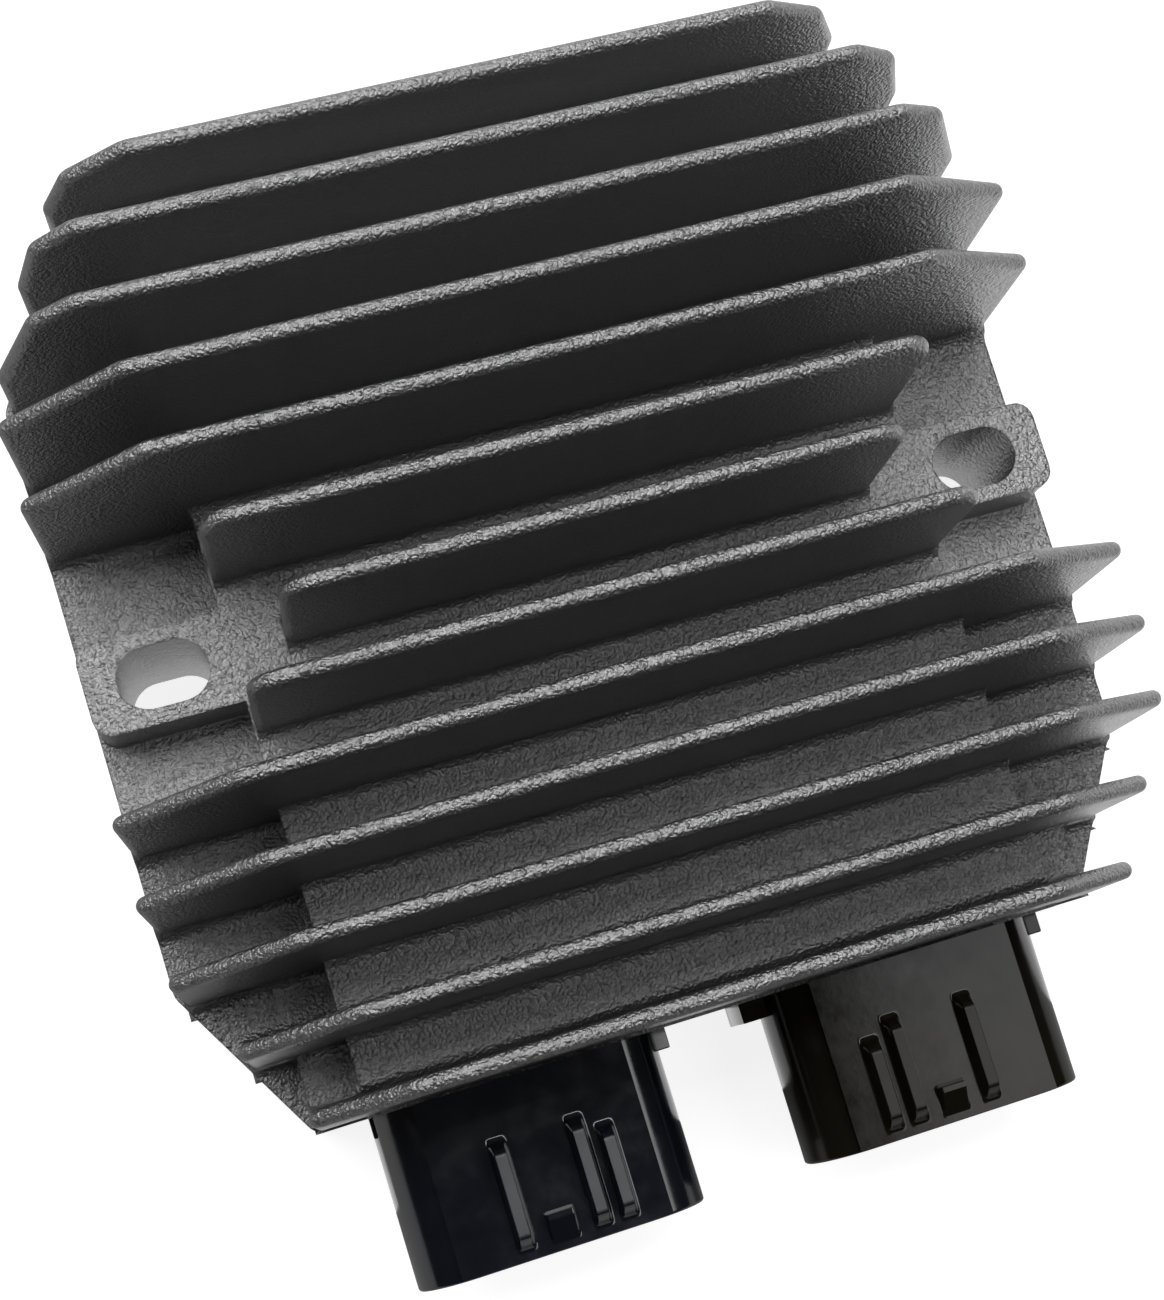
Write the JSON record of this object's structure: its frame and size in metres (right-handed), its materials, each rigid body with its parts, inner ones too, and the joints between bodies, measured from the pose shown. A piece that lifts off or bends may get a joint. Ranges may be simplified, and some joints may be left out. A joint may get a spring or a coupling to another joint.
{
  "type": "voltage regulator rectifier",
  "caption": "Finned die-cast voltage regulator and rectifier with two keyed plug sockets, slotted mounting ears and a potted power stage.",
  "frame": {"origin": "midway between the two slot centres, on the mounting face", "axes": "+X along the fins, -Y out of the plug sockets, +Z from the mounting face to the fin tops"},
  "size_m": [0.1066, 0.1184, 0.037],
  "materials": {
    "casting": "black coating with a fine leathery grain",
    "socket_blue_black": "glossy moulded black with a blue cast",
    "socket_bronze_black": "glossy moulded black with a warm cast",
    "tinned_brass": "bright tin plating",
    "alumina": "matte white",
    "device_moulding": "matte black moulding",
    "bus_bar": "plain copper",
    "board": "green solder resist",
    "chip_ceramic": "matte fired ceramic",
    "potting": "satin black resin"
  },
  "bodies": {
    "root": {"heat_sink": "casting", "stator_connector": "socket_blue_black", "battery_connector": "socket_bronze_black", "stator_blade_1": "tinned_brass", "stator_blade_2": "tinned_brass", "stator_blade_3": "tinned_brass", "battery_blade_1": "tinned_brass", "battery_blade_2": "tinned_brass", "battery_blade_3": "tinned_brass", "insulating_plate": "alumina", "thyristor_1": "device_moulding", "thyristor_2": "device_moulding", "thyristor_3": "device_moulding", "diode_1": "device_moulding", "diode_2": "device_moulding", "diode_3": "device_moulding", "phase_bar_1": "bus_bar", "phase_bar_2": "bus_bar", "phase_bar_3": "bus_bar", "positive_bus_bar": "bus_bar", "negative_bus_bar": "bus_bar", "control_board": "board", "board_pins": "tinned_brass", "control_chip": "device_moulding", "driver_transistors": "device_moulding", "chip_capacitors": "chip_ceramic", "chip_resistors": "chip_ceramic", "potting_block": "potting"}
  },
  "joints": []
}
